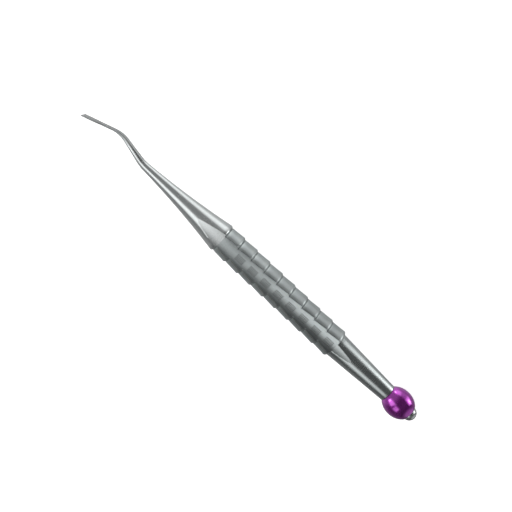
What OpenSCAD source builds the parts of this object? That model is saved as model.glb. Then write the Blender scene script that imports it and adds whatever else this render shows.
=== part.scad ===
// Dental elevator: a polished working end, a stepped hollow grip with two milled flats,
// a tapered rear cone, and a ball that turns on an axle and sits in the palm.
// The handle lies along X with the blade towards -X. The blade bends in the XY plane.
// The flats face +Z and -Z. Millimetres.

/* [Grip] */
// Number of stepped rings
ring_count = 9; // [7:1:10]
// Length of one ring
ring_pitch = 6.5; // [6:0.1:7]
// Radius at the wide end of a ring
ring_r = 6; // [5.9:0.05:6.4]
// Radius at the narrow end of a ring
ring_small_r = 5.55; // [5.4:0.05:5.7]
// Rounding of the wide end of a ring
ring_round = 0.9; // [0.7:0.05:1.1]
// Width and depth of the fine groove at the foot of each step
groove = 0.15; // [0.05:0.05:0.2]
// Distance from the axis to each milled flat
flat_h = 5; // [4.7:0.05:5.2]
// Radius of the hollow bore
bore_r = 3.5; // [3.2:0.1:3.8]

/* [Working end] */
// Length of the front cone, from its neck to the first step
cone_length = 41.6; // [36:0.2:46]
// Radius of the neck
neck_r = 1.56; // [1.4:0.02:1.7]
// Flare of the cone at the neck, in radius per length
neck_flare = 0.05; // [0.04:0.005:0.06]
// Distance from the first step to the first bend
bend_1 = 41; // [40:0.2:43]
// Distance from the first step to the second bend
bend_2 = 54.3; // [52:0.1:57]
// Sideways offset of the second bend's corner
bend_offset = 3.41; // [2:0.01:4.5]
// Distance from the first step to the cutting edge
tip_distance = 70.1; // [66:0.1:76]
// Sideways offset of the tip, on the other side of the axis
tip_offset = 1.92; // [0:0.02:3]
// Width of the blade near its tip
blade_width = 3.2; // [2.4:0.1:4]
// Width of the shank behind the blade
shank_width = 2.5; // [2:0.1:3]
// Thickness of the blade
blade_thickness = 0.8; // [0.6:0.05:1.1]
// Depth of the hollow ground along the inner face of the blade
blade_hollow = 0.15; // [0:0.01:0.25]
// Length of the ground bevel behind the cutting edge
bevel_length = 2.2; // [1.2:0.1:3]

/* [Rear cone] */
// Length of the rear cone outside the grip
rear_length = 27.7; // [22:0.1:32]
// Radius of the rear cone at the grip
rear_r = 5.1; // [4.9:0.05:5.3]
// Radius of the rear cone at the ball
rear_small_r = 3.55; // [3.3:0.05:3.7]

/* [Ball] */
// Greatest radius of the ball
ball_r = 5.75; // [5.4:0.05:6.2]
// Length of the ball between its end faces
ball_length = 11.15; // [10.6:0.05:11.6]
// Half length of the full ellipsoid that the ball is cut from
ball_half_axis = 7; // [6.6:0.1:7.4]
// Radius of the axle
axle_r = 1.5; // [1.3:0.05:1.6]
// Radius of the button that holds the ball on
button_r = 2.85; // [2.75:0.05:2.95]
// Length of the button
button_length = 3; // [2.8:0.1:3.4]

/* [Hidden] */

steel = "#b4b8b8";
polished_steel = "#d3d7d7";
anodised = "#5c1a68";
silicone = "#4a4c50";
bronze = "#b08a4e";
polymer = "#d9cdb0";

round_fn = 96;
arc_steps = 6;

// Fits, as radial or axial gaps
held_gap = 0.03;
running_gap = 0.03;
end_gap = 0.1;

// Places along the handle, measured from the first step
grip_end = ring_count * ring_pitch;
rear_end = grip_end + rear_length;
ball_start = rear_end + 0.15;
ball_end = ball_start + ball_length;
button_start = ball_end + end_gap;
button_end = button_start + button_length;
middle_x = (button_end - tip_distance) / 2;

// Each flat is a true plane between two places and falls away in a slow curve beyond them
flat_start = 3;
flat_end = 30;
front_runout_r = 174;
rear_runout_r = 1900;
front_runout = 20;
rear_runout = 45;
runout_steps = 5;
cutter = 12;

// Radius at the bottom of the fine groove
foot_r = ring_small_r - groove;
rear_chamfer = 0.15;

// Hidden joints inside the grip
spigot_length = 10;
seal_centre = 3;
seal_wire_r = 0.4;
seal_groove_w = 1;
spigot_r = bore_r - held_gap;
seal_ring_r = spigot_r - seal_wire_r;
axle_bore_depth = 16;
button_bore_depth = 1.7;

// Washers and bush
washer_t = 0.3;
front_washer_r = 3;
rear_washer_r = 2.45;
bush_r = 2.3;
bush_start = rear_end + washer_t + end_gap;
bush_end = button_start - washer_t - end_gap;

// Shank and blade
cone_curve = (ring_r - neck_r - neck_flare * (cone_length - ring_round)) / pow(cone_length - ring_round, 2);
turned_end = 37.5;
sweep_start = 36.5;
sweep_skin = 0.04;
shank_end = 57;
widening_start = 60;
widening_end = 66;
cone_steps = 16;
bend_1_r = 16;
bend_2_r = 11.5;
bend_steps = 8;
straight_steps = 8;
tip_steps = 8;
tip_round = 1.7;
edge_thickness = 0.06;
section_points = 32;
blade_squareness = 3.2;

function cone_r(x) = neck_r + neck_flare * (x + cone_length) + cone_curve * pow(x + cone_length, 2);
function mix(a, b, f) = a + (b - a) * f;
function unit_share(f) = max(0, min(1, f));
function eased(f) = let (g = unit_share(f)) g * g * (3 - 2 * g);
function unit_vector(v) = v / norm(v);
function signed_power(v, p) = sign(v) * pow(abs(v), p);

// Points of the round between two straight stretches that meet at corner
function bend_points(from, corner, to, r, steps) =
    let (
        u = unit_vector(from - corner),
        v = unit_vector(to - corner),
        half = acos(u * v) / 2,
        centre = corner + unit_vector(u + v) * r / sin(half),
        start = corner + u * r / tan(half) - centre,
        finish = corner + v * r / tan(half) - centre,
        swept = 180 - 2 * half
    )
    [for (i = [0:steps])
        let (f = i / steps)
        centre + (start * sin(swept * (1 - f)) + finish * sin(swept * f)) / sin(swept)];

// Points spaced evenly after a, up to and with b
function straight_points(a, b, steps) = [for (i = [1:steps]) mix(a, b, i / steps)];

// Points after a, up to and with b, packed closer together towards b
function closing_points(a, b, steps) = [for (i = [1:steps]) mix(a, b, sin(90 * i / steps))];

// The middle line of the shank and blade, in the XY plane
path_start = [-sweep_start, 0];
path_bend_1 = [-bend_1, 0];
path_bend_2 = [-bend_2, bend_offset];
tip_lean = unit_vector([-tip_distance, -tip_offset] - path_bend_2);
path_tip = [-tip_distance, -tip_offset] + tip_lean * blade_thickness / 2 * abs(tip_lean.y / tip_lean.x);
tip_base = path_tip - tip_lean * tip_round;
bend_1_points = bend_points(path_start, path_bend_1, path_bend_2, bend_1_r, bend_steps);
bend_2_points = bend_points(path_bend_1, path_bend_2, path_tip, bend_2_r, bend_steps);
path = concat(
    [path_start],
    straight_points(path_start, bend_1_points[0], 2),
    [for (i = [1:bend_steps]) bend_1_points[i]],
    straight_points(bend_1_points[bend_steps], bend_2_points[0], bend_steps),
    [for (i = [1:bend_steps]) bend_2_points[i]],
    straight_points(bend_2_points[bend_steps], tip_base, straight_steps),
    closing_points(tip_base, path_tip, tip_steps)
);
path_last = len(path) - 1;

// Direction across the path at station i, on the +Y side
function across(i) =
    let (d = unit_vector(path[min(i + 1, path_last)] - path[max(i - 1, 0)]))
    [d.y, -d.x];

// How far the section has changed from the round shank into the flat blade
function blade_share(x) = unit_share((-x - cone_length) / (shank_end - cone_length));

function half_thickness(x) =
    x > -cone_length ? cone_r(x) + sweep_skin
    : mix(neck_r + sweep_skin, blade_thickness / 2, blade_share(x));

function half_width(x) =
    x > -cone_length ? cone_r(x) + sweep_skin
    : mix(mix(neck_r + sweep_skin, shank_width / 2, eased(blade_share(x))),
        blade_width / 2,
        eased((-x - widening_start) / (widening_end - widening_start)));

// Outline of the section at station i, as [across the path, along Z]
function section(i) =
    let (
        x = path[i].x,
        left = norm(path_tip - path[i]),
        near_tip = x < -widening_start,
        tip_share = near_tip ? unit_share(1 - left / tip_round) : 0,
        bevel_share = near_tip ? unit_share(left / bevel_length) : 1,
        low = -half_thickness(x),
        high = mix(low + edge_thickness, half_thickness(x), bevel_share),
        w = max(0.25, half_width(x) * sqrt(1 - pow(tip_share, 2))),
        power = 2 / mix(2, blade_squareness, blade_share(x)),
        hollow = blade_hollow * eased((-x - shank_end) / (widening_end - shank_end)) * bevel_share
    )
    [for (k = [0:section_points - 1])
        let (
            a = 360 * k / section_points,
            z = w * signed_power(cos(a), power),
            t = mix(low, high, 0.5 + 0.5 * signed_power(sin(a), power)),
            dish = sin(a) < 0 ? hollow * (1 - pow(z / w, 2)) : 0
        )
        [t + dish, z]];

function station(i) =
    let (side = across(i))
    [for (p = section(i)) [path[i].x + side.x * p.x, path[i].y + side.y * p.x, p.y]];

module shank_and_blade() {
    n = section_points;
    points = [for (i = [0:path_last]) each station(i)];
    walls = [
        for (i = [0:path_last - 1])
        for (k = [0:n - 1])
        let (a = i * n + k, b = i * n + (k + 1) % n)
        each [[a, b + n, b], [a, a + n, b + n]]
    ];
    first_face = [for (k = [0:n - 1]) k];
    last_face = [for (k = [n - 1:-1:0]) path_last * n + k];
    polyhedron(points, concat([first_face, last_face], walls), convexity = 8);
}

// Turns an outline of [radius, place along the handle] into a solid around X
module turned(points) {
    rotate([0, 90, 0])
        rotate_extrude($fn = round_fn)
            polygon(points);
}

module rod(from, to, r) {
    translate([from, 0, 0])
        rotate([0, 90, 0])
            cylinder(h = to - from, r = r, $fn = round_fn);
}

module tube(from, to, r, hole_r) {
    difference() {
        rod(from, to, r);
        rod(from - 1, to + 1, hole_r);
    }
}

// Puts a part that is measured from the first step into the frame of the whole tool
module placed() {
    translate([-middle_x, 0, 0])
        children();
}

// The round of a wide end whose step is at x, down to radius low_r
function shoulder(x, low_r) =
    let (
        centre_r = ring_r - ring_round,
        last = acos((low_r - centre_r) / ring_round)
    )
    [for (i = [0:arc_steps])
        let (a = last * i / arc_steps)
        [centre_r + ring_round * cos(a), x - ring_round + ring_round * sin(a)]];

// Points of a run-out, which falls away from the flat as a curve of radius r beyond x
function runout_points(from, to, x, r) = [
    for (i = [0:runout_steps])
    let (place = mix(from, to, i / runout_steps))
    [place, flat_h - pow(place - x, 2) / (2 * r)]
];

// All that is milled away above the upper flat and below the lower one
module milled_away() {
    outline = concat(
        [[flat_start - front_runout, cutter]],
        runout_points(flat_start - front_runout, flat_start, flat_start, front_runout_r),
        runout_points(flat_end, flat_end + rear_runout, flat_end, rear_runout_r),
        [[flat_end + rear_runout, cutter]]
    );
    for (side = [0, 1])
        mirror([0, 0, side])
            rotate([90, 0, 0])
                linear_extrude(height = 2 * cutter, center = true)
                    polygon(outline);
}

module seal_groove(centre) {
    tube(centre - seal_groove_w / 2, centre + seal_groove_w / 2, bore_r + 1, seal_ring_r - seal_wire_r - 0.02);
}

module seal(centre) {
    translate([centre, 0, 0])
        rotate([0, 90, 0])
            rotate_extrude($fn = round_fn)
                translate([seal_ring_r, 0])
                    circle(r = seal_wire_r, $fn = 24);
}

// One turned and milled piece from the first step forwards, with the spigot that the grip holds
module working_end() {
    cone_points = [
        for (i = [0:cone_steps])
        let (x = mix(-turned_end, -ring_round, i / cone_steps))
        [cone_r(x), x]
    ];
    placed()
        color(polished_steel) {
            difference() {
                turned(concat([[0, -turned_end]], cone_points, shoulder(0, foot_r), [[foot_r, 0], [0, 0]]));
                milled_away();
            }
            shank_and_blade();
            difference() {
                rod(-1, spigot_length, spigot_r);
                seal_groove(seal_centre);
            }
        }
}

module grip_body() {
    rings = [
        for (k = [0:ring_count - 1])
        let (x = k * ring_pitch, low_r = k < ring_count - 1 ? foot_r : rear_r)
        each concat([[foot_r, x], [foot_r, x + groove], [ring_small_r, x + groove]], shoulder(x + ring_pitch, low_r))
    ];
    placed()
        color(steel)
            difference() {
                turned(concat([[0, 0]], rings, [[0, grip_end]]));
                milled_away();
                rod(-1, grip_end + 1, bore_r);
            }
}

module rear_cone() {
    placed()
        color(steel)
            difference() {
                turned([
                    [0, grip_end - spigot_length],
                    [spigot_r, grip_end - spigot_length],
                    [spigot_r, grip_end],
                    [rear_r, grip_end],
                    [rear_small_r, rear_end - rear_chamfer],
                    [rear_small_r - rear_chamfer, rear_end],
                    [0, rear_end]
                ]);
                milled_away();
                seal_groove(grip_end - seal_centre);
                rod(rear_end - axle_bore_depth, rear_end + 1, axle_r + held_gap);
            }
}

module front_seal() {
    placed()
        color(silicone)
            seal(seal_centre);
}

module rear_seal() {
    placed()
        color(silicone)
            seal(grip_end - seal_centre);
}

// Fixed in the rear cone, it carries the ball and ends inside the button
module ball_axle() {
    placed()
        color(polished_steel)
            rod(rear_end - axle_bore_depth + end_gap, button_start + button_bore_depth - end_gap, axle_r);
}

module front_washer() {
    placed()
        color(polymer)
            tube(rear_end, rear_end + washer_t, front_washer_r, axle_r + held_gap);
}

module rear_washer() {
    placed()
        color(polymer)
            tube(button_start - washer_t, button_start, rear_washer_r, axle_r + held_gap);
}

module ball_bush() {
    placed()
        color(bronze)
            tube(bush_start, bush_end, bush_r, axle_r + running_gap);
}

// A barrel cut from an ellipsoid, bored for the bush, with a recess for a washer at each end
module palm_ball() {
    middle = (ball_start + ball_end) / 2;
    last_angle = asin(ball_length / 2 / ball_half_axis);
    outline = [
        for (i = [-12:12])
        let (a = last_angle * i / 12)
        [ball_r * cos(a), middle + ball_half_axis * sin(a)]
    ];
    placed()
        color(anodised)
            difference() {
                turned(concat([[0, ball_start]], outline, [[0, ball_end]]));
                rod(ball_start - 1, ball_end + 1, bush_r + held_gap);
                rod(ball_start - 1, bush_start, front_washer_r + end_gap);
                rod(bush_end, ball_end + 1, rear_washer_r + end_gap);
            }
}

// A domed cap, pressed on the end of the axle
module end_button() {
    rim = 0.5;
    dome_h = button_length - rim;
    dome_r = (pow(button_r, 2) + pow(dome_h, 2)) / (2 * dome_h);
    full_angle = asin(button_r / dome_r);
    dome = [
        for (i = [0:10])
        let (a = full_angle * (1 - i / 10))
        [dome_r * sin(a), button_end - dome_r + dome_r * cos(a)]
    ];
    placed()
        color(polished_steel)
            difference() {
                turned(concat([[0, button_start], [button_r, button_start]], dome));
                rod(button_start - 1, button_start + button_bore_depth, axle_r + held_gap);
            }
}

working_end();
front_seal();
grip_body();
rear_seal();
rear_cone();
ball_axle();
front_washer();
ball_bush();
palm_ball();
rear_washer();
end_button();
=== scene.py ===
"""Dental elevator: the finished looks of the tool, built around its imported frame.

Metres, with the handle along X, the blade towards -X and the milled flats facing +Z and -Z.
"""
import math

import bmesh
import bpy
from mathutils import Matrix, Vector


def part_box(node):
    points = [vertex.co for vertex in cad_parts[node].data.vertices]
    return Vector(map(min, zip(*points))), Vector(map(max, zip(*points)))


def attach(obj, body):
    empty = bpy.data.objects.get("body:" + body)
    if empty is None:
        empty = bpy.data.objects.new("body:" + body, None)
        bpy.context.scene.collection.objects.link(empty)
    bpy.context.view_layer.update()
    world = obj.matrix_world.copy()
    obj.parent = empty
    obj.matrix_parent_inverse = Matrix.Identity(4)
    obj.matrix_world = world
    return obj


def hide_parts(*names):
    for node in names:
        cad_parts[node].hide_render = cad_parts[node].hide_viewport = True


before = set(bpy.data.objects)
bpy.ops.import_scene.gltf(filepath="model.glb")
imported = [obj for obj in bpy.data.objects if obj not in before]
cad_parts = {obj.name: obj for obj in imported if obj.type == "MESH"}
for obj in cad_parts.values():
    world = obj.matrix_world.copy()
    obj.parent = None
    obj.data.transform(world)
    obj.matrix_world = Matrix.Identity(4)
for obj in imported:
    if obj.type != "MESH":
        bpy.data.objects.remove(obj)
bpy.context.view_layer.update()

MM = 0.001
SIDES = 144
SMOOTH_BELOW = math.radians(35)

# Places and sizes that the frame gives
grip_low, grip_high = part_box("grip_body")
cone_low, cone_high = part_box("rear_cone")
ball_low, ball_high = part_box("palm_ball")
button_low, button_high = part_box("end_button")
washer_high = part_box("front_washer")[1]
rear_washer_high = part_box("rear_washer")[1]
bush_low, bush_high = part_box("ball_bush")
axle_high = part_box("ball_axle")[1]

FIRST_STEP = grip_low.x
GRIP_END = grip_high.x
RINGS = 9
RING_PITCH = (GRIP_END - FIRST_STEP) / RINGS
RING_R = grip_high.y
RING_SMALL_R = RING_R - 0.45 * MM
RING_ROUND = 0.9 * MM
GROOVE = 0.15 * MM
FOOT_R = RING_SMALL_R - GROOVE
BORE_R = 3.5 * MM
SPIGOT_R = 3.47 * MM
SPIGOT_LENGTH = 10 * MM
SPIGOT_CHAMFER = 0.3 * MM
SEAL_PLACE = 3 * MM
SEAL_GROOVE_HALF = 0.5 * MM
SEAL_GROOVE_R = SPIGOT_R - 0.82 * MM
FLAT_H = grip_high.z

CONE_LENGTH = 41.6 * MM
NECK_R = 1.56 * MM
NECK_FLARE = 0.05
REAR_R = cone_high.y
REAR_SMALL_R = 3.55 * MM
AXLE_R = axle_high.y
RUNNING_R = AXLE_R + 0.03 * MM


# ---------------------------------------------------------------- modelling helpers

def deselect():
    bpy.ops.object.select_all(action="DESELECT")


def alone(piece):
    """Makes piece the only selected object, and the active one."""
    deselect()
    piece.select_set(True)
    bpy.context.view_layer.objects.active = piece


def edit(piece):
    alone(piece)
    bpy.ops.object.mode_set(mode="EDIT")


def leave_edit():
    bpy.ops.object.mode_set(mode="OBJECT")


def pick(piece, test):
    """Selects the vertices whose place passes the test, and the edges and faces between them."""
    bpy.ops.mesh.select_all(action="DESELECT")
    shape = bmesh.from_edit_mesh(piece.data)
    for corner in shape.verts:
        corner.select = test(corner.co)
    shape.select_flush(True)
    bmesh.update_edit_mesh(piece.data)


def fix_normals(piece, gap=0.0005 * MM):
    """Merges corners closer than gap and turns every face outwards."""
    edit(piece)
    bpy.ops.mesh.select_all(action="SELECT")
    bpy.ops.mesh.remove_doubles(threshold=gap)
    bpy.ops.mesh.normals_make_consistent(inside=False)
    if bmesh.from_edit_mesh(piece.data).calc_volume(signed=True) < 0:
        bpy.ops.mesh.flip_normals()
    leave_edit()


def modify(piece, kind, **settings):
    """Adds a modifier with its settings and applies it."""
    alone(piece)
    modifier = piece.modifiers.new(kind.lower(), kind)
    for name, value in settings.items():
        setattr(modifier, name, value)
    bpy.ops.object.modifier_apply(modifier=modifier.name)


def cut(piece, tool):
    modify(piece, "BOOLEAN", operation="DIFFERENCE", solver="MANIFOLD", object=tool)
    bpy.data.objects.remove(tool)


def smooth(piece):
    alone(piece)
    bpy.ops.object.shade_smooth_by_angle(angle=SMOOTH_BELOW)
    modify(piece, "WEIGHTED_NORMAL", keep_sharp=True)


def soften(piece, width, angle=28):
    """Breaks the edges of a piece that are sharper than angle."""
    modify(piece, "BEVEL", width=width, segments=2, limit_method="ANGLE",
           angle_limit=math.radians(angle), use_clamp_overlap=True)


def signed_power(value, power):
    return math.copysign(abs(value) ** power, value)


class Ring:
    """The open end of a piece of round stock that grows by extrusion along the handle."""

    def __init__(self, name, x, r, sides=SIDES):
        deselect()
        bpy.ops.mesh.primitive_circle_add(
            vertices=sides, radius=r, location=(x, 0, 0), rotation=(0, math.pi / 2, 0))
        self.piece = bpy.context.object
        self.piece.name = name
        bpy.ops.object.transform_apply()
        self.x, self.y = x, 0
        self.deep = self.wide = r
        self.power = 2
        edit(self.piece)
        bpy.ops.mesh.select_all(action="SELECT")

    def to(self, x, r):
        """Extrudes to a round ring of radius r at x."""
        bpy.ops.mesh.extrude_region_move(TRANSFORM_OT_translate={"value": (x - self.x, 0, 0)})
        bpy.ops.transform.resize(value=(1, r / self.deep, r / self.wide), center_override=(x, 0, 0))
        self.x, self.deep, self.wide = x, r, r

    def squarish(self, x, y, deep, wide, power):
        """Extrudes to a ring about (x, y), deep along Y and wide along Z.

        It is an ellipse at power 2 and squarer above that.
        """
        bpy.ops.mesh.extrude_region_move(TRANSFORM_OT_translate={"value": (x - self.x, y - self.y, 0)})
        shape = bmesh.from_edit_mesh(self.piece.data)
        for corner in shape.verts:
            if corner.select:
                angle = math.atan2(signed_power((corner.co.y - y) / self.deep, self.power / 2),
                                   signed_power(corner.co.z / self.wide, self.power / 2))
                corner.co.y = y + deep * signed_power(math.sin(angle), 2 / power)
                corner.co.z = wide * signed_power(math.cos(angle), 2 / power)
        bmesh.update_edit_mesh(self.piece.data)
        self.x, self.y, self.deep, self.wide, self.power = x, y, deep, wide, power

    def cap(self):
        bpy.ops.mesh.edge_face_add()

    def done(self):
        leave_edit()
        fix_normals(self.piece)
        return self.piece


def turned(name, outline, sides=SIDES, closed=False):
    """Lathe work: a ring extruded through the points (x, radius) of an outline."""
    ring = Ring(name, *outline[0], sides=sides)
    if not closed:
        ring.cap()
    for x, r in outline[1:]:
        ring.to(x, r)
    if not closed:
        ring.cap()
    return ring.done()


def arc(centre_x, centre_r, radius, first, last, steps):
    """Points of a round, from one angle to another, measured from the +X direction."""
    angles = [math.radians(first + (last - first) * i / steps) for i in range(steps + 1)]
    return [(centre_x + radius * math.cos(a), centre_r + radius * math.sin(a)) for a in angles]


def shoulder(x, low_r, steps=7):
    """The round of a ring's wide end, whose step is at x, down to radius low_r."""
    centre_r = RING_R - RING_ROUND
    last = math.degrees(math.asin((low_r - centre_r) / RING_ROUND))
    return arc(x - RING_ROUND, centre_r, RING_ROUND, 90, last, steps)


# ---------------------------------------------------------------- milled flats

FLAT_START = FIRST_STEP + 3 * MM
FLAT_END = FIRST_STEP + 30 * MM
FRONT_RUNOUT_R = 241 * MM
REAR_RUNOUT_R = 3980 * MM
FLAT_DISH_R = 16 * MM
FLAT_HALF_WIDTH = 2.59 * MM
CUTTER_HALF_WIDTH = 4.6 * MM


def flat_fall(x):
    """How far the flat has fallen towards the axis at x, beyond its level stretch."""
    if x < FLAT_START:
        return (FLAT_START - x) ** 2 / (2 * FRONT_RUNOUT_R)
    if x > FLAT_END:
        return (x - FLAT_END) ** 2 / (2 * REAR_RUNOUT_R)
    return 0


def flat_sheet(x_from, x_to, columns=80, rows=36):
    """A sheet that follows the upper flat: a grid moved column by column and row by row."""
    deselect()
    bpy.ops.mesh.primitive_grid_add(
        x_subdivisions=columns, y_subdivisions=rows, size=1, location=(0, 0, 0))
    sheet = bpy.context.object
    sheet.name = "cutter"
    edit(sheet)
    middle = (x_from + x_to) / 2
    bpy.ops.mesh.select_all(action="SELECT")
    bpy.ops.transform.resize(value=(x_to - x_from, 2 * CUTTER_HALF_WIDTH, 1), center_override=(0, 0, 0))
    bpy.ops.transform.translate(value=(middle, 0, FLAT_H))
    for i in range(columns + 1):
        x = x_from + (x_to - x_from) * i / columns
        if flat_fall(x):
            pick(sheet, lambda place: abs(place.x - x) < 1e-6)
            bpy.ops.transform.translate(value=(0, 0, -flat_fall(x)))
    for i in range(rows + 1):
        y = CUTTER_HALF_WIDTH * (2 * i / rows - 1)
        pick(sheet, lambda place: abs(place.y - y) < 1e-6)
        bpy.ops.transform.translate(value=(0, 0, (y * y - FLAT_HALF_WIDTH ** 2) / (2 * FLAT_DISH_R)))
    leave_edit()
    return sheet


def thicken(sheet, height):
    edit(sheet)
    bpy.ops.mesh.select_all(action="SELECT")
    bpy.ops.mesh.extrude_region_move(TRANSFORM_OT_translate={"value": (0, 0, height)})
    leave_edit()
    fix_normals(sheet)
    return sheet


def turn_over(piece):
    """Turns a piece half a turn about the handle's axis."""
    edit(piece)
    bpy.ops.mesh.select_all(action="SELECT")
    bpy.ops.transform.rotate(value=math.pi, orient_axis="X", center_override=(0, 0, 0))
    leave_edit()
    return piece


def mill_flats(piece):
    """Cuts the upper and the lower flat."""
    front_reach, rear_reach, cutter_height = 15 * MM, 12 * MM, 8 * MM
    for half_turn in (False, True):
        cutter = thicken(flat_sheet(FIRST_STEP - front_reach, GRIP_END + rear_reach), cutter_height)
        cut(piece, turn_over(cutter) if half_turn else cutter)
    fix_normals(piece, gap=0.002 * MM)


# ---------------------------------------------------------------- the shank and blade

SHANK_START = 37 * MM
BEND_1 = Vector((-41.0 * MM, 0))
BEND_2 = Vector((-54.3 * MM, 3.18 * MM))
BLADE_TIP = Vector((-70.1 * MM, -2.12 * MM))
BEND_1_R = 16 * MM
BEND_2_R = 11.5 * MM
BLADE_START = 57 * MM
WIDENING_START = 60 * MM
WIDENING_END = 66 * MM
BLADE_HALF_DEPTH = 0.52 * MM
SHANK_HALF_WIDTH = 1.25 * MM
BLADE_HALF_WIDTH = 1.75 * MM
BLADE_POWER = 3.2
TIP_ROUND = 1.7 * MM
BEVEL_LENGTH = 1.5 * MM


def mixed(a, b, share):
    return a + (b - a) * share


def unit_share(value):
    return max(0.0, min(1.0, value))


def eased(value):
    share = unit_share(value)
    return share * share * (3 - 2 * share)


def bend(before, corner, after, r, steps):
    """Points of the round between two straight stretches that meet at corner."""
    back, onward = (before - corner).normalized(), (after - corner).normalized()
    half = back.angle(onward) / 2
    centre = corner + (back + onward).normalized() * r / math.sin(half)
    start = corner + back * r / math.tan(half) - centre
    end = corner + onward * r / math.tan(half) - centre
    swept = math.pi - 2 * half
    return [
        centre + (start * math.sin(swept * (1 - i / steps))
                  + end * math.sin(swept * i / steps)) / math.sin(swept)
        for i in range(steps + 1)
    ]


def straight(a, b, steps):
    return [a.lerp(b, i / steps) for i in range(1, steps + 1)]


def closing(a, b, steps):
    """Points from a to b, closer together towards b."""
    return [a.lerp(b, math.sin(math.pi / 2 * i / steps)) for i in range(1, steps + 1)]


def shank_line():
    """The middle line of the shank and blade, measured from the first step."""
    start = Vector((-SHANK_START, 0))
    first = bend(start, BEND_1, BEND_2, BEND_1_R, 14)
    second = bend(BEND_1, BEND_2, BLADE_TIP, BEND_2_R, 22)
    tip_base = BLADE_TIP + (BEND_2 - BLADE_TIP).normalized() * TIP_ROUND
    return (straight(start, first[0], 3) + first[1:] + straight(first[-1], second[0], 10) + second[1:]
            + straight(second[-1], tip_base, 18) + closing(tip_base, BLADE_TIP, 14))


def cone_r(x):
    """Radius of the front cone at x, measured from the first step."""
    run = x + CONE_LENGTH
    full = CONE_LENGTH - RING_ROUND
    curve = (RING_R - NECK_R - NECK_FLARE * full) / full ** 2
    return NECK_R + NECK_FLARE * run + curve * run * run


def blade_section(place, slope):
    """Half the section's reach along Y and along Z, and how square it is."""
    behind = -place.x
    if behind < CONE_LENGTH:
        return cone_r(place.x), cone_r(place.x), 2
    flatness = unit_share((behind - CONE_LENGTH) / (BLADE_START - CONE_LENGTH))
    deep = mixed(NECK_R, BLADE_HALF_DEPTH, flatness)
    wide = mixed(NECK_R, SHANK_HALF_WIDTH, eased(flatness))
    wide = mixed(wide, BLADE_HALF_WIDTH, eased((behind - WIDENING_START) / (WIDENING_END - WIDENING_START)))
    left = (BLADE_TIP - place).length
    if behind > WIDENING_END:
        wide = max(0.3 * MM, wide * math.sqrt(max(0.0, 1 - unit_share(1 - left / TIP_ROUND) ** 2)))
    return deep / abs(math.cos(slope)), wide, mixed(2, BLADE_POWER, eased(flatness))


def make_working_end():
    """Spigot, first step, front cone, shank and blade in one run of extrusions."""
    ring = Ring("working_end_steel", FIRST_STEP + SPIGOT_LENGTH, SPIGOT_R - SPIGOT_CHAMFER)
    ring.cap()
    groove_from, groove_to = SEAL_PLACE + SEAL_GROOVE_HALF, SEAL_PLACE - SEAL_GROOVE_HALF
    for x, r in [(SPIGOT_LENGTH - SPIGOT_CHAMFER, SPIGOT_R), (groove_from, SPIGOT_R),
                 (groove_from, SEAL_GROOVE_R), (groove_to, SEAL_GROOVE_R),
                 (groove_to, SPIGOT_R), (0, SPIGOT_R), (0, FOOT_R)]:
        ring.to(FIRST_STEP + x, r)
    for x, r in reversed(shoulder(0, FOOT_R)[:-1]):
        ring.to(FIRST_STEP + x, r)
    cone_steps = 30
    for i in range(1, cone_steps):
        x = mixed(-RING_ROUND, -SHANK_START, i / cone_steps)
        ring.to(FIRST_STEP + x, cone_r(x))
    line = shank_line()
    before = Vector((-SHANK_START + MM, 0))
    for place, after in zip(line, line[1:] + [line[-1]]):
        way = after - before
        slope = math.atan2(way.y, way.x)
        ring.squarish(FIRST_STEP + place.x, place.y, *blade_section(place, slope))
        before = place
    ring.cap()
    piece = ring.done()
    grind_blade(piece)
    mill_flats(piece)
    smooth(piece)
    return piece


def grind_blade(piece):
    """Grinds the tip's bevel on the outer side, and the hollow of the inner side."""
    along = (BEND_2 - BLADE_TIP).normalized()
    outwards = Vector((-along.y, along.x))
    inner = BLADE_TIP - outwards * BLADE_HALF_DEPTH
    edge = inner + outwards * 0.06 * MM
    lean = math.atan(2 * BLADE_HALF_DEPTH / BEVEL_LENGTH)
    normal = outwards * math.cos(lean) - along * math.sin(lean)
    block = 8 * MM
    away = edge + normal * block / 2
    deselect()
    bpy.ops.mesh.primitive_cube_add(
        size=block, location=(FIRST_STEP + away.x, away.y, 0),
        rotation=(0, 0, math.atan2(normal.y, normal.x)))
    cut(piece, bpy.context.object)
    hollow_r, hollow_depth, hollow_length = 6 * MM, 0.15 * MM, 9 * MM
    fade = math.atan(hollow_depth / hollow_length)
    axis = along * math.cos(fade) - outwards * math.sin(fade)
    middle = inner - outwards * (hollow_r - hollow_depth) + axis * 5 * MM
    deselect()
    bpy.ops.mesh.primitive_cylinder_add(
        vertices=256, radius=hollow_r, depth=14 * MM, location=(FIRST_STEP + middle.x, middle.y, 0),
        rotation=Vector((axis.x, axis.y, 0)).to_track_quat("Z", "Y").to_euler())
    cut(piece, bpy.context.object)


# ---------------------------------------------------------------- grip, rear cone, ball and button

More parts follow.
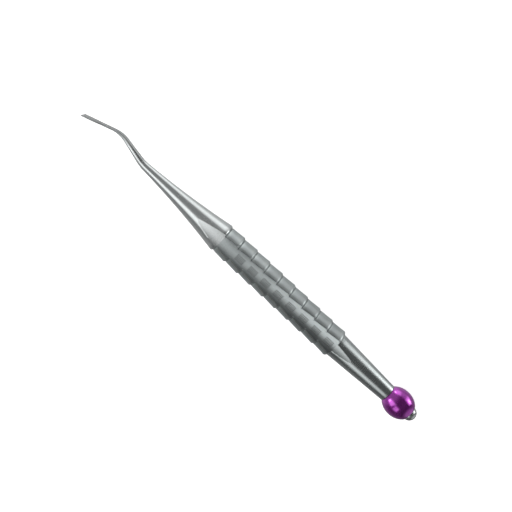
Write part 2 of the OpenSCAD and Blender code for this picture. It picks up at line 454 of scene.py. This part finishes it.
def make_grip():
    bore_chamfer = 0.2 * MM
    outline = [(FIRST_STEP, BORE_R + bore_chamfer), (FIRST_STEP, FOOT_R)]
    for k in range(RINGS):
        foot = FIRST_STEP + k * RING_PITCH
        low_r = FOOT_R if k < RINGS - 1 else REAR_R
        outline += [(foot + 0.6 * GROOVE, FOOT_R), (foot + GROOVE, FOOT_R + 0.02 * MM),
                    (foot + 1.3 * GROOVE, RING_SMALL_R + 0.01 * MM)]
        outline += [(foot + share * RING_PITCH, mixed(RING_SMALL_R, RING_R, share))
                    for share in (0.25, 0.5, 0.75)]
        outline += shoulder(foot + RING_PITCH, low_r)
    outline += [(GRIP_END, BORE_R + bore_chamfer), (GRIP_END - bore_chamfer, BORE_R)]
    outline += [(mixed(GRIP_END, FIRST_STEP, i / 12), BORE_R) for i in range(1, 12)]
    outline += [(FIRST_STEP + bore_chamfer, BORE_R), outline[0]]
    piece = turned("grip_ringed_tube", outline, closed=True)
    soften(piece, 0.04 * MM)
    mill_flats(piece)
    smooth(piece)
    return piece


def make_rear_cone():
    chamfer, axle_hole = 0.15 * MM, 16 * MM
    seal = GRIP_END - SEAL_PLACE
    outline = [(cone_low.x, SPIGOT_R - SPIGOT_CHAMFER), (cone_low.x + SPIGOT_CHAMFER, SPIGOT_R),
               (seal - SEAL_GROOVE_HALF, SPIGOT_R), (seal - SEAL_GROOVE_HALF, SEAL_GROOVE_R),
               (seal + SEAL_GROOVE_HALF, SEAL_GROOVE_R), (seal + SEAL_GROOVE_HALF, SPIGOT_R),
               (GRIP_END, SPIGOT_R), (GRIP_END, REAR_R - 0.04 * MM), (GRIP_END + 0.04 * MM, REAR_R)]
    outline += [(mixed(GRIP_END, cone_high.x - chamfer, i / 16), mixed(REAR_R, REAR_SMALL_R, i / 16))
                for i in range(1, 17)]
    outline += arc(cone_high.x - chamfer, REAR_SMALL_R - chamfer, chamfer, 75, 0, 4)
    outline += [(cone_high.x, RUNNING_R + 0.2 * MM), (cone_high.x - 0.2 * MM, RUNNING_R),
                (cone_high.x - axle_hole, RUNNING_R)]
    piece = turned("rear_cone_steel", outline)
    soften(piece, 0.04 * MM)
    mill_flats(piece)
    smooth(piece)
    return piece


def make_palm_ball():
    """A barrel on an ellipsoid, with rounded rims, bored for the bush and recessed for two washers."""
    half_axis, steps, rim = 7 * MM, 48, 0.12 * MM
    middle, half_length = (ball_low.x + ball_high.x) / 2, (ball_high.x - ball_low.x) / 2
    last = math.asin((half_length - rim) / half_axis)
    barrel = [(middle + half_axis * math.sin(last * (2 * i / steps - 1)),
               ball_high.y * math.cos(last * (2 * i / steps - 1))) for i in range(steps + 1)]
    end_r = barrel[0][1]
    bush_hole_r = bush_high.y + 0.03 * MM
    front_recess_r, rear_recess_r = washer_high.y + 0.1 * MM, rear_washer_high.y + 0.1 * MM
    outline = [(bush_low.x, bush_hole_r), (bush_low.x, front_recess_r), (ball_low.x, front_recess_r),
               (ball_low.x, end_r - 1.6 * rim), (ball_low.x + 0.2 * rim, end_r - 0.8 * rim)]
    outline += barrel
    outline += [(ball_high.x - 0.2 * rim, end_r - 0.8 * rim), (ball_high.x, end_r - 1.6 * rim),
                (ball_high.x, rear_recess_r), (bush_high.x, rear_recess_r), (bush_high.x, bush_hole_r),
                (bush_low.x, bush_hole_r)]
    piece = turned("palm_ball_metal", outline, sides=192, closed=True)
    soften(piece, 0.03 * MM, angle=50)
    smooth(piece)
    return piece


def make_end_button():
    """A domed cap with a rounded rim and a blind hole for the axle."""
    rim, steps = 0.5 * MM, 24
    dome_h = button_high.x - button_low.x - rim
    button_r = button_high.y
    dome_r = (button_r ** 2 + dome_h ** 2) / (2 * dome_h)
    full = math.asin(button_r / dome_r)
    outline = [(button_low.x + 1.7 * MM, RUNNING_R), (button_low.x, RUNNING_R),
               (button_low.x, button_r - 0.15 * MM), (button_low.x + 0.15 * MM, button_r),
               (button_low.x + 0.8 * rim, button_r)]
    for i in range(1, steps):
        angle = full * (1 - i / steps)
        outline.append((button_high.x - dome_r * (1 - math.cos(angle)), dome_r * math.sin(angle)))
    outline.append((button_high.x, 0.02 * MM))
    piece = turned("end_button_steel", outline, sides=128)
    soften(piece, 0.05 * MM, angle=40)
    smooth(piece)
    return piece


# ---------------------------------------------------------------- finishes

class Wire:
    """A value or colour that varies over a surface. Arithmetic on it adds Math nodes."""

    def __init__(self, finish, socket):
        self.finish, self.socket = finish, socket

    def math(self, operation, *others):
        values = dict(enumerate((self, *others)))
        return self.finish.node("Math", {"operation": operation}, values)

    def __add__(self, other):
        return self.math("ADD", other)

    def __radd__(self, other):
        return self.math("ADD", other)

    def __sub__(self, other):
        return self.math("SUBTRACT", other)

    def __rsub__(self, other):
        return self.finish.node("Math", {"operation": "SUBTRACT"}, {0: other, 1: self})

    def __mul__(self, other):
        return self.math("MULTIPLY", other)

    def __rmul__(self, other):
        return self.math("MULTIPLY", other)

    def __truediv__(self, other):
        return self.math("DIVIDE", other)

    def __gt__(self, other):
        return self.math("GREATER_THAN", other)

    def __lt__(self, other):
        return self.math("LESS_THAN", other)


class Finish:
    """A node tree for a material or the studio's light."""

    def __init__(self, owner):
        owner.use_nodes = True
        self.owner, self.tree = owner, owner.node_tree

    def node(self, kind, settings=None, values=None, output=0):
        made = self.tree.nodes.new("ShaderNode" + kind)
        for name, value in (settings or {}).items():
            if name == "stops":
                self.set_stops(made.color_ramp, value)
            else:
                setattr(made, name, value)
        for name, value in (values or {}).items():
            self.feed(made.inputs[name], value)
        return Wire(self, made.outputs[output]) if made.outputs else None

    def feed(self, socket, value):
        if isinstance(value, Wire):
            self.tree.links.new(value.socket, socket)
        else:
            socket.default_value = value

    @staticmethod
    def set_stops(ramp, stops):
        while len(ramp.elements) < len(stops):
            ramp.elements.new(1)
        for element, (place, grey) in zip(ramp.elements, stops):
            element.position = place
            element.color = (grey, grey, grey, 1)

    def place(self):
        return self.node("TexCoord", output="Object")

    def parts(self, vector):
        split = self.node("SeparateXYZ", None, {0: vector})
        return [Wire(self, split.socket.node.outputs[i]) for i in range(3)]

    def joined(self, x, y, z):
        return self.node("CombineXYZ", None, {0: x, 1: y, 2: z})

    def stretched(self, vector, scale):
        return self.node("VectorMath", {"operation": "MULTIPLY"}, {0: vector, 1: scale})

    def noise(self, vector, scale, detail, rough):
        return self.node("TexNoise", None, {
            "Vector": vector, "Scale": scale, "Detail": detail, "Roughness": rough})

    def rise(self, value, low, high):
        """0 below low, 1 above high, smooth between."""
        return self.node("MapRange", {"interpolation_type": "SMOOTHSTEP"},
                         {"Value": value, "From Min": low, "From Max": high})

    def blend(self, share, first, second):
        return self.node("Mix", {"data_type": "RGBA"}, {0: share, 6: first, 7: second}, output=2)

    def bump(self, height, strength, distance):
        return self.node("Bump", None, {"Height": height, "Strength": strength, "Distance": distance})


def grey(level, green=0.0):
    return (level * (1 - green), level, level, 1)


class Metal(Finish):
    """A metal: its tree and the values of its shader that don't vary."""

    def __init__(self, name, metallic=1.0, **values):
        super().__init__(bpy.data.materials.new(name))
        self.shader = self.tree.nodes["Principled BSDF"]
        self.shader.inputs["Metallic"].default_value = metallic
        for socket, value in values.items():
            self.shader.inputs[socket.replace("_", " ")].default_value = value
        self.position = self.place()
        self.x, self.y, self.z = self.parts(self.position)
        self.r = self.node("Math", {"operation": "SQRT"}, {0: self.y * self.y + self.z * self.z})

    def set(self, **wires):
        for socket, value in wires.items():
            self.feed(self.shader.inputs[socket.replace("_", " ")], value)
        return self.owner

    def turning_lines(self, pitch=0.05 * MM):
        """Fine rings left by the lathe, as a noise that hardly changes round the axis."""
        return self.noise(self.stretched(self.position, (1 / pitch, 120, 120)), 1.0, 3.0, 0.6)

    def grain(self, size):
        return self.noise(self.position, 1 / size, 3.0, 0.55)

    def smudges(self):
        return self.noise(self.position, 160, 3.0, 0.6)


def polished_steel():
    metal = Metal("polished_steel")
    lines, cloud, fine = metal.turning_lines(), metal.smudges(), metal.grain(0.12 * MM)
    tone = metal.blend(cloud, grey(0.70, 0.05), grey(0.78, 0.04))
    tone = metal.blend(fine * 0.25, tone, grey(0.62, 0.06))
    ground = metal.rise(metal.x, FIRST_STEP - 47 * MM, FIRST_STEP - 56 * MM)
    rough = 0.2 + cloud * 0.07 + lines * 0.05 + ground * 0.16
    normal = metal.bump(lines * 0.6 + fine * 0.4, 0.12, 0.004 * MM)
    tone = metal.blend(ground * 0.85, tone, grey(0.3, 0.04))
    return metal.set(Base_Color=tone, Roughness=rough, Normal=normal)


def rear_steel():
    metal = Metal("rear_cone_steel")
    lines, cloud, fine = metal.turning_lines(0.07 * MM), metal.smudges(), metal.grain(0.12 * MM)
    tone = metal.blend(cloud, grey(0.66, 0.08), grey(0.74, 0.06))
    tone = metal.blend(fine * 0.3, tone, grey(0.56, 0.08))
    rough = 0.19 + cloud * 0.08 + lines * 0.06
    normal = metal.bump(lines * 0.7 + fine * 0.3, 0.07, 0.005 * MM)
    return metal.set(Base_Color=tone, Roughness=rough, Normal=normal)


DOT_PITCH = RING_PITCH / 10
# A dot's radius, as a share of the pitch
DOT_SHARE = 0.36
# Where the dots start and end along a ring, as shares of its length, and their reach to each side
DOTS_START, DOTS_END, DOTS_REACH = 0.2, 0.8, 2 * DOT_PITCH
# Of the two flats, only the upper one is above this
UPPER_FLAT_ABOVE = 4 * MM


def laser_marks(metal):
    """An even field of round dots on each ring's upper flat, the first left plain. Returns 1 on a dot."""
    ring = (metal.x - FIRST_STEP) / RING_PITCH
    phase = ring.math("FRACT")
    off_x = ((metal.x - FIRST_STEP) / DOT_PITCH).math("FRACT") - 0.5
    off_y = (metal.y / DOT_PITCH).math("FRACT") - 0.5
    dot = (off_x * off_x + off_y * off_y) < DOT_SHARE ** 2
    field = (phase > DOTS_START) * (phase < DOTS_END) * (metal.y.math("ABSOLUTE") < DOTS_REACH)
    return dot * field * (ring > 1.0) * (ring < float(RINGS)) * (metal.z > UPPER_FLAT_ABOVE)


def satin_steel():
    metal = Metal("satin_steel")
    lines, cloud, fine = metal.turning_lines(0.09 * MM), metal.smudges(), metal.grain(0.09 * MM)
    coarse = metal.grain(0.6 * MM)
    phase = ((metal.x - FIRST_STEP) / RING_PITCH).math("FRACT")
    # Painted shade: the colour is darkened at the foot of each ring, at its step and small groove, where
    # shade falls in the recess
    foot = 1 - metal.rise(phase, 0.005, 0.04)
    # Painted highlight: a lighter band in the colour on each ring's crown, just before its rounded shoulder
    painted_crown_highlight = metal.rise(phase, 0.86, 0.9) * (1 - metal.rise(phase, 0.93, 0.99)) * metal.rise(
        metal.r, RING_R - 0.12 * MM, RING_R - 0.02 * MM)
    dish = FLAT_H - FLAT_HALF_WIDTH ** 2 / (2 * FLAT_DISH_R)
    past_level = (metal.x - FLAT_END).math("MAXIMUM", 0.0)
    above_flat = (metal.z.math("ABSOLUTE") - metal.y * metal.y / (2 * FLAT_DISH_R)
                  + past_level * past_level / (2 * REAR_RUNOUT_R) - dish)
    on_flat = above_flat.math("ABSOLUTE") < 0.05 * MM
    foot, painted_crown_highlight = foot * (1 - on_flat), painted_crown_highlight * (1 - on_flat)
    tone = metal.blend(cloud, grey(0.50, 0.09), grey(0.76, 0.07))
    tone = metal.blend(fine * 0.35, tone, grey(0.46, 0.09))
    # Painted shade at each ring's foot
    tone = metal.blend(foot * 0.9, tone, grey(0.14, 0.06))
    # Painted highlight on each ring's crown
    tone = metal.blend(painted_crown_highlight * 0.3, tone, grey(0.66, 0.03))
    marks = laser_marks(metal)
    tone = metal.blend(marks * (0.7 + coarse * 0.3), tone, (0.045, 0.05, 0.05, 1))
    rough = 0.31 + cloud * 0.08 + fine * 0.06 + foot * 0.2 + marks * 0.15 - on_flat * 0.18
    brushed = metal.noise(metal.stretched(metal.position, (900, 14000, 14000)), 1.0, 3.0, 0.6)
    height = fine * 0.6 + lines * (1 - on_flat) * 0.5 + brushed * on_flat * 0.5
    return metal.set(Base_Color=tone, Roughness=rough, Normal=metal.bump(height, 0.3, 0.008 * MM))


def purple_metal():
    metal = Metal("purple_anodised_metal", metallic=0.85, Coat_IOR=1.95, Coat_Roughness=0.05)
    lines, cloud, fine = metal.turning_lines(0.06 * MM), metal.smudges(), metal.grain(0.1 * MM)
    tone = metal.blend(cloud, (0.46, 0.008, 0.51, 1), (0.54, 0.012, 0.59, 1))
    tone = metal.blend(fine * 0.15, tone, (0.38, 0.015, 0.46, 1))
    rough = 0.14 + cloud * 0.06 + lines * 0.04
    normal = metal.bump(lines * 0.5 + fine * 0.5, 0.1, 0.004 * MM)
    return metal.set(Base_Color=tone, Roughness=rough, Coat_Weight=0.85 + cloud * 0.15, Normal=normal)


def bush_bronze():
    metal = Metal("bearing_bronze")
    lines, cloud, pores = metal.turning_lines(0.08 * MM), metal.smudges(), metal.grain(0.15 * MM)
    tone = metal.blend(cloud, (0.55, 0.30, 0.11, 1), (0.66, 0.40, 0.17, 1))
    tone = metal.blend(metal.rise(pores, 0.6, 0.7) * 0.7, tone, (0.12, 0.07, 0.03, 1))
    return metal.set(Base_Color=tone, Roughness=0.32 + lines * 0.1 + cloud * 0.08,
                     Normal=metal.bump(lines * 0.5 + pores * 0.5, 0.25, 0.01 * MM))


def bearing_polymer():
    metal = Metal("bearing_polymer", metallic=0.0)
    cloud, fine = metal.smudges(), metal.grain(0.08 * MM)
    tone = metal.blend(cloud, (0.66, 0.58, 0.42, 1), (0.74, 0.67, 0.50, 1))
    return metal.set(Base_Color=tone, Roughness=0.42 + fine * 0.12, Normal=metal.bump(fine, 0.2, 0.006 * MM))


def seal_silicone():
    metal = Metal("seal_silicone", metallic=0.0)
    cloud, fine = metal.smudges(), metal.grain(0.1 * MM)
    tone = metal.blend(cloud, (0.05, 0.052, 0.058, 1), (0.085, 0.088, 0.095, 1))
    return metal.set(Base_Color=tone, Roughness=0.5 + fine * 0.15, Normal=metal.bump(fine, 0.25, 0.008 * MM))


def coat(piece, material):
    piece.data.materials.clear()
    piece.data.materials.append(material)


# ---------------------------------------------------------------- assembly

finishes = {
    "polished_steel": polished_steel(),
    "satin_steel": satin_steel(),
    "rear_steel": rear_steel(),
    "purple_metal": purple_metal(),
    "bush_bronze": bush_bronze(),
    "bearing_polymer": bearing_polymer(),
    "silicone": seal_silicone(),
}

for make, node, body, slot in [
        (make_working_end, "working_end", "handle", "polished_steel"),
        (make_grip, "grip_body", "handle", "satin_steel"),
        (make_rear_cone, "rear_cone", "handle", "rear_steel"),
        (make_palm_ball, "palm_ball", "ball", "purple_metal"),
        (make_end_button, "end_button", "handle", "polished_steel")]:
    piece = make()
    coat(piece, finishes[slot])
    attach(piece, body)
    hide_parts(node)

for node, slot in [
        ("ball_axle", "polished_steel"), ("ball_bush", "bush_bronze"),
        ("front_washer", "bearing_polymer"), ("rear_washer", "bearing_polymer"),
        ("front_seal", "silicone"), ("rear_seal", "silicone")]:
    coat(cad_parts[node], finishes[slot])


# ---------------------------------------------------------------- studio

FLOOR_Z = -6.1 * MM


def make_floor():
    """A wide pale floor. The metal doesn't mirror it: only the camera sees it."""
    deselect()
    bpy.ops.mesh.primitive_plane_add(size=40, location=(0, 0, FLOOR_Z))
    floor = bpy.context.object
    floor.name = "studio_floor"
    bpy.ops.object.transform_apply()
    finish = Finish(bpy.data.materials.new("pale_floor"))
    finish.tree.nodes.clear()
    matt = finish.node("BsdfDiffuse", None, {"Color": (0.9, 0.9, 0.9, 1)})
    glow = finish.node("Emission", None, {"Color": (1, 1, 1, 1), "Strength": 0.9})
    pale = finish.node("AddShader", None, {0: matt, 1: glow})
    finish.node("OutputMaterial", None, {0: pale})
    for kind in ("diffuse", "glossy", "transmission", "shadow"):
        setattr(floor, "visible_" + kind, False)
    coat(floor, finish.owner)


TENT_R = 500 * MM
# How bright the tent's cloth is along X, in metres
TENT_GREY = [
    (-0.6, 0.36), (-0.25, 0.34), (-0.18, 0.30), (-0.05, 0.11),
    (0.08, 0.07), (0.3, 0.09), (0.7, 0.05), (1.4, 0.4),
]
# How much brighter it is beneath the handle
TENT_LOW_GREY = [
    (-0.6, 0.33), (-0.25, 0.33), (-0.18, 0.3), (-0.05, 0.26), (0.08, 0.23), (0.3, 0.12), (0.7, 0.06),
]
# The windows in the tent: reach along X, reach in degrees from straight up towards +Y, and brightness
WINDOWS = [
    (-0.49, -0.06, 72, 114, 0.95),
    (-0.46, -0.36, 88, 100, 7.0),
    (-0.06, 0.20, 70, 112, 0.35),
    (0.20, 0.60, 68, 112, 1.2),
    (0.30, 0.50, 85, 97, 5.5),
    (-0.59, -0.035, -48, -6, 1.15),
    (-0.50, -0.34, -36, -24, 5.0),
    (-0.035, 0.06, -28, -4, 0.42),
    (0.06, 0.27, -52, -15, 0.85),
    (0.19, 0.26, -36, -26, 0.7),
]
WINDOW_EDGE = 0.045
WINDOW_EDGE_DEGREES = 9


def make_light():
    """A round light tent about the handle with long, soft windows. The camera looks through its wall."""
    deselect()
    bpy.ops.mesh.primitive_cylinder_add(
        vertices=96, radius=TENT_R, depth=4, location=(0, 0, 0), rotation=(0, math.pi / 2, 0))
    tent = bpy.context.object
    tent.name = "light_tent"
    bpy.ops.object.transform_apply()
    tent.visible_camera = False
    cloth = Finish(bpy.data.materials.new("tent_cloth"))
    cloth.tree.nodes.clear()
    x, y, z = cloth.parts(cloth.place())
    angle = y.math("ARCTAN2", z) * (180 / math.pi)

    def between(value, low, high, edge):
        return cloth.rise(value, low - edge, low + edge) * (1 - cloth.rise(value, high - edge, high + edge))

    def along(levels):
        first, last = levels[0][0], levels[-1][0]
        stops = [((place - first) / (last - first), level) for place, level in levels]
        share = cloth.node("MapRange", None, {"Value": x, "From Min": first, "From Max": last})
        return cloth.node("ValToRGB", {"stops": stops}, {0: share}) * 1.0

    below = cloth.rise(angle.math("ABSOLUTE"), 70, 130)
    light = along(TENT_GREY) + along(TENT_LOW_GREY) * below + cloth.rise(angle, 105, 135) * 0.1
    for x0, x1, low, high, level in WINDOWS:
        window = between(x, x0, x1, WINDOW_EDGE) * between(angle, low, high, WINDOW_EDGE_DEGREES)
        light = light + window * level
    glow = cloth.node("Emission", None, {"Color": cloth.joined(light, light, light), "Strength": 1.0})
    cloth.node("OutputMaterial", None, {0: glow})
    coat(tent, cloth.owner)
    world = bpy.data.worlds.new("studio")
    bpy.context.scene.world = world
    studio = Finish(world)
    studio.tree.nodes.clear()
    white = studio.node("Background", None, {"Color": (1, 1, 1, 1), "Strength": 1.0})
    studio.node("OutputWorld", None, {0: white})


VIEW_FROM = Vector((-32.4, 102.3, 378.1)) * MM
VIEW_AIM = Vector((-1.7, 3.69, -1.03)) * MM
VIEW_SLOPE = math.radians(43.11)


def make_camera():
    """A long lens above the upper flat, turned so that the handle runs down to the right."""
    forward = (VIEW_AIM - VIEW_FROM).normalized()
    handle = Vector((1, 0, 0))
    along = (handle - forward * forward.dot(handle)).normalized()
    across = along.cross(forward)
    if across.y < 0:
        across = -across
    right = along * math.cos(VIEW_SLOPE) + across * math.sin(VIEW_SLOPE)
    up = across * math.cos(VIEW_SLOPE) - along * math.sin(VIEW_SLOPE)
    camera = bpy.data.cameras.new("camera")
    camera.lens, camera.sensor_width = 73.34, 36
    camera.clip_start, camera.clip_end = 0.01, 100
    viewer = bpy.data.objects.new("camera", camera)
    bpy.context.scene.collection.objects.link(viewer)
    turn = Matrix((right, up, -forward)).transposed().to_4x4()
    viewer.matrix_world = Matrix.Translation(VIEW_FROM) @ turn
    bpy.context.scene.camera = viewer


make_floor()
make_light()
make_camera()
bpy.context.scene.view_settings.view_transform = "Standard"
